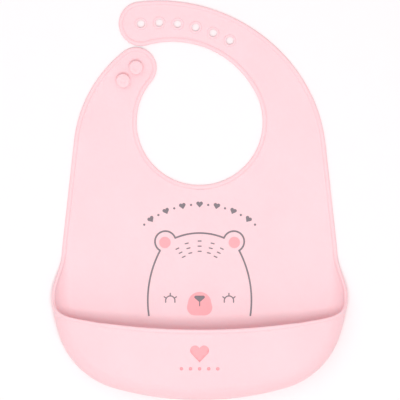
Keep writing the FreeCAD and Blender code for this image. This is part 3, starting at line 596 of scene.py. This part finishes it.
def settle(mesh):
    """Welds the parts of a skin and turns its faces to the front."""
    bmesh.ops.remove_doubles(mesh, verts=mesh.verts, dist=WELD)
    bmesh.ops.recalc_face_normals(mesh, faces=mesh.faces)
    flats = [f for f in mesh.faces if f.calc_center_median().z < 3 * MM]
    if sum(f.normal.z * f.calc_area() for f in flats) < 0:
        bmesh.ops.reverse_faces(mesh, faces=mesh.faces)


def upper_skin(blank):
    """The whole flat sheet above the pocket, as one layer at mid thickness."""
    mesh = new_skin()
    sheet_share = blank.mid / THICKEST
    start_y = blank.seam_y - PAST_SEAM
    edge = blank.upper_edge(start_y)
    rows = []
    for p, inward in edge:
        row = []
        for k in range(len(FLAT_BEAD)):
            e, share, shift = bead_row(k, 0)
            row.append(add_vert(mesh, p + inward * e + Vector((0, 0, blank.mid + shift)), share))
        row.append(add_vert(mesh, p + inward * FLAT_STARTS * MM + Vector((0, 0, blank.mid)), sheet_share))
        rows.append(row)
    strip(mesh, rows)
    outer = [flat(row[-1].co) for row in rows]
    holes = []
    for n in HOLES:
        centre = flat(middle(f"hole_collar_{n}"))
        holes.append([centre + toward(a * 360 / HOLE_POINTS) * COLLAR_SEAT * MM for a in range(HOLE_POINTS)])
    fill_flat(mesh, outer, holes, blank.mid, sheet_share, FINE_FILL)
    settle(mesh)
    return mesh


def cut_at(mesh, point, normal, clear=False):
    """Cuts a skin along a plane, and can take away what lies on the normal's side."""
    geom = [*mesh.verts, *mesh.edges, *mesh.faces]
    bmesh.ops.bisect_plane(mesh, geom=geom, dist=TINY, plane_co=point, plane_no=normal, clear_outer=clear)


def only(mesh, keep):
    """A copy of a skin with just the faces whose middle passes a test."""
    part = mesh.copy()
    gone = [f for f in part.faces if not keep(f.calc_center_median())]
    bmesh.ops.delete(part, geom=gone, context="FACES")
    return part


def bend_rows(mesh, middle_point, along, half, count=9):
    """Cuts close rows across the stretch that bends."""
    for i in range(count):
        cut_at(mesh, middle_point + along * half * (2 * i / (count - 1) - 1), along)


def pocket_section(blank, p, inward):
    """The mid line of the sheet from its flat, round the pocket's bottom, to the edge.

    Returns a function from length along the line, and shift off it, to a point; and the line's length.
    """
    size, mid = blank.size, blank.mid
    reach, start = size.nose_radius, PANEL_INSET
    slope = math.radians(180) - size.wall_slope
    full = blank.hinge.z - mid
    if p.y > blank.hinge.y:
        share = (blank.side.y - p.y) / (blank.side.y - blank.hinge.y)
        edge_x = blank.side.x + (blank.wide - blank.side.x) * smooth((blank.side.y - MM - p.y) / SWELL)
        if share < 0:
            edge_x = blank.side.x + share * (blank.side.y - blank.hinge.y) * math.tan(size.side_lean)
        inset = blank.wide - edge_x + mid * smooth(share * 1.1)
        rise = full * max(0.0, share) ** RISE_POWER
        across = reach - inset
        if rise < NO_RISE:
            radius, turn = math.inf, 0.0
        else:
            radius = (across * across + rise * rise) / (2 * rise)
            turn = math.atan2(across, radius - rise)
        end = start - reach + (radius * turn if turn else across)
    else:
        radius, turn, end = full, slope, None

    def place(length):
        along = length - (start - reach)
        if along <= 0 or turn == 0:
            return start - length, mid, 0.0
        phi = min(along / radius, turn)
        extra = along - radius * phi
        s = reach - radius * math.sin(phi) - extra * math.cos(phi)
        z = mid + radius * (1 - math.cos(phi)) + extra * math.sin(phi)
        return s, z, phi

    def point(length, shift=0.0):
        s, z, phi = place(length)
        return p + inward * (s + shift * math.sin(phi)) + Vector((0, 0, z + shift * math.cos(phi)))

    if end is None:
        low_end, high_end = start - reach + radius * math.pi / 2, start - reach + radius * turn + LONGEST_WALL
        steps = 60
        last = low_end
        for i in range(1, steps + 1):
            trial = low_end + (high_end - low_end) * i / steps
            if blank.in_mouth(flat(point(trial))):
                high_end = trial
                break
            last = trial
        low_end = last
        for _ in range(24):
            trial = (low_end + high_end) / 2
            if blank.in_mouth(flat(point(trial))):
                high_end = trial
            else:
                low_end = trial
        end = high_end
    return point, end


def lower_skin(blank):
    """The front panel and the pocket in one layer at mid thickness."""
    mesh = new_skin()
    sheet_share = blank.mid / THICKEST
    edge = blank.lower_edge()
    sections = [pocket_section(blank, p, n) for p, n in edge]
    ends = [end for _, end in sections]
    rows, smoothed = [], []
    for i, (point, _) in enumerate(sections):
        here = edge[i][0]
        off_corner = (here.y - blank.hinge.y + CORNER_DROP) / CORNER_SPAN
        at_corner = math.exp(-(off_corner**2)) if abs(here.x) > CORNER_X else 0
        spread = SPREAD + CORNER_SPREAD * at_corner
        end = ends[i]
        if NEIGHBOURS < i < len(ends) - NEIGHBOURS:
            near = [
                (math.exp(-((k - i) ** 2) / spread), ends[k])
                for k in range(i - NEIGHBOURS, i + NEIGHBOURS + 1)
            ]
            end = sum(w * e for w, e in near) / sum(w for w, _ in near)
        smoothed.append(end)
        lip = smooth((blank.side.y - LIP_STARTS - here.y) / (blank.side.y - blank.hinge.y))
        slant = 1.0
        if 0 < i < len(ends) - 1 and here.y < blank.hinge.y:
            gap = (point(end) - sections[i - 1][0](smoothed[i - 1])).length
            slant = min(STEEPEST, gap / math.sqrt(max(1e-9, gap**2 - (end - smoothed[i - 1]) ** 2)))
        bead = [bead_row(k, lip) for k in range(len(FLAT_BEAD))]
        inner = end - bead[-1][0] * slant
        row = [add_vert(mesh, point(inner * k / WALL_ROWS), sheet_share) for k in range(WALL_ROWS)]
        for e, share, shift in reversed(bead):
            row.append(add_vert(mesh, point(end - e * slant, shift), share))
        rows.append(row)
    strip(mesh, rows)
    outer = [flat(row[0].co) for row in rows]
    fill_flat(mesh, outer, [], blank.mid, sheet_share, COARSE_FILL)
    settle(mesh)
    return mesh


def turned(name, profile, centre, body, count=72):
    """A piece turned on a lathe: a closed profile of radius and height, in millimetres."""
    mesh = bmesh.new()
    rings = []
    for a in range(count):
        out = toward(360 * a / count)
        rings.append([mesh.verts.new(centre + out * r * MM + Vector((0, 0, z * MM))) for r, z in profile])
    for a in range(count):
        ring, following = rings[a], rings[(a + 1) % count]
        for k in range(len(profile) - (0 if profile[0][0] > 0 else 1)):
            m = (k + 1) % len(profile)
            mesh.faces.new((ring[k], following[k], following[m], ring[m]))
    bmesh.ops.remove_doubles(mesh, verts=mesh.verts, dist=TINY)
    bmesh.ops.recalc_face_normals(mesh, faces=mesh.faces)
    made = placed(name, mesh, "soft_silicone")
    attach(made, body)
    return made


def rounded(corners, steps=5):
    """A profile from corners of radius, height and rounding, the rounding as an arc."""
    points = []
    for i, (r, z, bend) in enumerate(corners):
        here = Vector((r, z))
        if bend <= 0 or i in (0, len(corners) - 1):
            points.append((r, z))
            continue
        before = Vector(corners[i - 1][:2]) - here
        after = Vector(corners[i + 1][:2]) - here
        half = before.angle(after) / 2
        cut = min(bend / math.tan(half), before.length * 0.49, after.length * 0.49)
        a, b = here + before.normalized() * cut, here + after.normalized() * cut
        for k in range(steps + 1):
            t = k / steps
            q = a * (1 - t) ** 2 + here * 2 * t * (1 - t) + b * t**2
            points.append((q.x, q.y))
    return points


# ------------------------------------------------------------------ operators

CORAL_PRINTS = ("print_ear_patches", "print_muzzle")

STRAP_SEAM, NAPE_SEAM, TAB_SEAM = 10, 38, 172  # turns about the middle of the neck opening, in degrees
FOLD_HALF = 4.5 * MM  # half the length of sheet that bends below the neck
HALF_GAP = 0.6 * MM  # between the round ends of the strap and the tab

FACES_OUT = 0.7  # least cosine for a face of the pocket's print to count as its front
INK_ROW = 0.8 * MM
INK_DEPTH = 0.15 * MM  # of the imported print
INK_GAP, INK_FILM = 0.02 * MM, 0.13 * MM

FLOOR_SIZE, FLOOR_DROP = 12, 0.4 * MM
CAMERA_ASIDE, CAMERA_HEIGHT, CAMERA_LENS = 0.3 * MM, 3.0, 347
SKY_COLOUR, SKY_STRENGTH = (1, 0.77, 0.785, 1), 0.76
LAMP_COLOUR = (0.85, 1, 1)


class BIB_OT_pocket(bpy.types.Operator):
    """Moulds the front panel, its ears and the pocket with its lip."""

    bl_idname = "bib.pocket"
    bl_label = "Panel and pocket"

    def execute(self, context):
        blank = Blank()
        made = skin(
            "panel_and_pocket", lower_skin(blank), "panel", "mouth", start=(0, 0, 0.0282), end=(0, 0, 0.0362)
        )
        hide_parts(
            "front_panel", "side_bead_left", "side_bead_right", "pocket_trough", "pocket_front",
            "ear_bead_left", "ear_bead_right", "pocket_lip",
        )
        return {"FINISHED"}


class BIB_OT_yoke(bpy.types.Operator):
    """Moulds the flat sheet above the fold: the yoke, the holed strap and the stud tab."""

    bl_idname = "bib.yoke"
    bl_label = "Yoke, strap and tab"

    def execute(self, context):
        blank = Blank()
        whole = upper_skin(blank)
        neck, stretch = blank.neck, blank.size.stretch
        cut_at(whole, Vector((0, blank.seam_y, 0)), Vector((0, -1, 0)), clear=True)
        for turn in (STRAP_SEAM, NAPE_SEAM, TAB_SEAM):
            cut_at(whole, neck, toward(turn + 90))
        split = (blank.tab_end - blank.strap_end).normalized()
        halfway = blank.size.strap_end_radius + HALF_GAP

        def region(p):
            turn = bearing(flat(p) - neck) % 360
            on_tab = (flat(p) - blank.strap_end).dot(split) > halfway
            if turn < STRAP_SEAM or turn > TAB_SEAM or (turn > NECK_TO_TAB and not on_tab):
                return "yoke"
            if turn < NAPE_SEAM:
                return "strap"
            return "tab" if on_tab and turn > 90 else "tip"

        parts = {name: only(whole, lambda p, n=name: region(p) == n) for name in ("yoke", "strap", "tip", "tab")}
        whole.free()
        lift = Vector((0, 0, blank.mid))

        fold = joint("yoke_fold")["pos_m"][1]
        bend_rows(parts["yoke"], Vector((0, fold, 0)), Vector((0, 1, 0)), FOLD_HALF)
        made = skin(
            "yoke", parts["yoke"], "panel", "yoke", start=(0, fold - FOLD_HALF, 0), end=(0, fold + FOLD_HALF, 0)
        )
        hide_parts("fold_band", "neck_yoke", "neck_bead", "yoke_bead_left", "yoke_bead_right")

        for part, name, flex, sense, bodies, nodes in (
            ("strap", "strap", "shoulder_flex", 1, ("yoke", "strap"),
             ("shoulder_band", "strap_shoulder", "strap_bead_inner", "strap_bead_outer")),
            ("tip", "holed_strap_end", "nape_flex", 1, ("strap", "strap_tip"),
             ("nape_band", "strap_end", "strap_end_bead")),
            ("tab", "stud_tab_sheet", "tab_flex", -1, ("yoke", "tab"),
             ("tab_band", "stud_tab", "stud_tab_bead")),
        ):
            axis = Vector(joint(flex)["axis"])
            along = Vector((-axis.y, axis.x, 0)) * sense
            bend_rows(parts[part], neck, along, stretch)
            made = skin(
                name, parts[part], *bodies, start=neck + lift - along * stretch, end=neck + lift + along * stretch
            )
            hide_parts(*nodes)
        return {"FINISHED"}


class BIB_OT_holes(bpy.types.Operator):
    """Turns the raised collars of the six fastening holes."""

    bl_idname = "bib.holes"
    bl_label = "Hole collars"

    def execute(self, context):
        profile = rounded([
            (4.4, 0.0, 0), (3.0, 0.0, 0.2), (3.0, 2.4, 0.3), (4.45, 2.4, 0.45), (4.8, 1.8, 0.1),
            (4.95, 1.76, 0), (4.4, 1.0, 0),
        ])
        for n in HOLES:
            node = f"hole_collar_{n}"
            made = turned(f"collar_{n}", profile, flat(middle(node)), "strap_tip")
            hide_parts(node)
        return {"FINISHED"}


class BIB_OT_studs(bpy.types.Operator):
    """Turns the two fastening studs, with rounded heads on a short waist."""

    bl_idname = "bib.studs"
    bl_label = "Studs"

    def execute(self, context):
        for n in (1, 2):
            node = f"stud_{n}"
            top = high(node).z / MM
            profile = rounded([
                (0, top - 0.25, 0), (1.6, top - 0.25, 0.5), (2.3, top, 1.2), (5.5, top, 1.3), (5.5, top - 3.2, 0.9),
                (2.8, top - 3.2, 0.5), (2.8, 1.9, 0.4), (3.5, 1.75, 0), (0, 1.7, 0),
            ])
            made = turned(f"round_stud_{n}", profile, flat(middle(node)), "tab")
            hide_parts(node)
        return {"FINISHED"}


class BIB_OT_pocket_print(bpy.types.Operator):
    """Lays the printed heart and dots on the pocket's front, so that they bend with it."""

    bl_idname = "bib.pocket_print"
    bl_label = "Pocket print"

    def execute(self, context):
        size = context.scene.bib_sizes
        outward = Vector((0, -math.sin(size.wall_slope), math.cos(size.wall_slope)))
        for node in ("pocket_heart", "pocket_dots"):
            mesh = bmesh.new()
            mesh.from_mesh(frame["nodes"][node].data)
            bmesh.ops.remove_doubles(mesh, verts=mesh.verts, dist=TINY)
            mesh.normal_update()
            under = [f for f in mesh.faces if f.normal.dot(outward) < FACES_OUT]
            bmesh.ops.delete(mesh, geom=under, context="FACES")
            bottom, top = low(node).y, high(node).y
            for i in range(1, int((top - bottom) / INK_ROW)):
                cut_at(mesh, Vector((0, bottom + i * INK_ROW, 0)), Vector((0, 1, 0)))
            bmesh.ops.translate(mesh, verts=mesh.verts, vec=outward * -(size.sheet / 2 + INK_DEPTH))
            made = placed(f"{node}_ink", mesh, "coral_ink")
            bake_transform(made, "panel", "mouth", start=(0, 0, 0.0282), end=(0, 0, 0.0362))
            lay = made.modifiers.new("lay on the wall", "DISPLACE")
            lay.strength = size.sheet / 2 + INK_GAP
            lay.mid_level = 0
            film = made.modifiers.new("film", "SOLIDIFY")
            film.thickness = INK_FILM
            film.offset = 1
            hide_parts(node)
        return {"FINISHED"}


class BIB_OT_front_print(bpy.types.Operator):
    """Gives the printed bear and its garland their inks."""

    bl_idname = "bib.front_print"
    bl_label = "Front print"

    def execute(self, context):
        for name, node in frame["nodes"].items():
            if not name.startswith("print_"):
                continue
            ink = "coral_ink" if name in CORAL_PRINTS else "grey_ink"
            for slot in node.material_slots:
                slot.material = material_named(ink)
        return {"FINISHED"}


class BIB_OT_stage(bpy.types.Operator):
    """Lays the floor and sets the camera and the lights."""

    bl_idname = "bib.stage"
    bl_label = "Stage"

    def execute(self, context):
        lo, hi = CAD_BOX
        centre = (lo + hi) / 2
        mesh = bmesh.new()
        bmesh.ops.create_grid(mesh, x_segments=2, y_segments=2, size=FLOOR_SIZE)
        bmesh.ops.translate(mesh, verts=mesh.verts, vec=(0, 0, -FLOOR_DROP))
        floor = placed("floor", mesh, "pale_floor", smooth=False)

        view = bpy.data.cameras.new("camera")
        view.sensor_width = 36
        view.lens = CAMERA_LENS
        camera = bpy.data.objects.new("camera", view)
        camera.location = (centre.x + CAMERA_ASIDE, centre.y, CAMERA_HEIGHT)
        context.scene.collection.objects.link(camera)
        context.scene.camera = camera

        world = bpy.data.worlds.new("studio")
        world.use_nodes = True
        sky = world.node_tree.nodes["Background"]
        sky.inputs["Color"].default_value = SKY_COLOUR
        sky.inputs["Strength"].default_value = SKY_STRENGTH
        context.scene.world = world
        context.scene.view_settings.view_transform = "Standard"
        for name, place, energy, size in (
            ("key", Vector((0.03, -0.34, 1.65)), 11, 0.45),
            ("top", Vector((-0.5, 0.5, 1.7)), 3.5, 1.2),
        ):
            lamp = bpy.data.lights.new(name, "AREA")
            lamp.energy = energy
            lamp.size = size
            lamp.color = LAMP_COLOUR
            light = bpy.data.objects.new(name, lamp)
            light.location = place
            light.rotation_euler = (centre - place).to_track_quat("-Z", "Y").to_euler()
            context.scene.collection.objects.link(light)
        return {"FINISHED"}


OPERATORS = (
    BIB_OT_pocket, BIB_OT_yoke, BIB_OT_holes, BIB_OT_studs, BIB_OT_pocket_print, BIB_OT_front_print, BIB_OT_stage,
)


class BIB_PT_sidebar(bpy.types.Panel):
    """Lists the bib's pieces, sizes and finishes."""

    bl_idname = "BIB_PT_sidebar"
    bl_label = "Silicone bib"
    bl_space_type = "VIEW_3D"
    bl_region_type = "UI"
    bl_category = "Bib"

    def draw(self, context):
        for group in (context.scene.bib_sizes, context.scene.bib_finish):
            box = self.layout.box()
            for name in group.bl_rna.properties.keys():
                if name not in ("rna_type", "name"):
                    box.prop(group, name)
        for made in OPERATORS:
            self.layout.operator(made.bl_idname)


CLASSES = (BibSizes, BibFinish, *OPERATORS, BIB_PT_sidebar)


def register():
    for made in CLASSES:
        bpy.utils.register_class(made)
    bpy.types.Scene.bib_sizes = bpy.props.PointerProperty(type=BibSizes)
    bpy.types.Scene.bib_finish = bpy.props.PointerProperty(type=BibFinish)


def unregister():
    del bpy.types.Scene.bib_finish
    del bpy.types.Scene.bib_sizes
    for made in reversed(CLASSES):
        bpy.utils.unregister_class(made)


def main():
    register()
    bpy.ops.bib.stage()
    bpy.ops.bib.pocket()
    bpy.ops.bib.yoke()
    bpy.ops.bib.holes()
    bpy.ops.bib.studs()
    bpy.ops.bib.pocket_print()
    bpy.ops.bib.front_print()


if __name__ == "__main__":
    main()
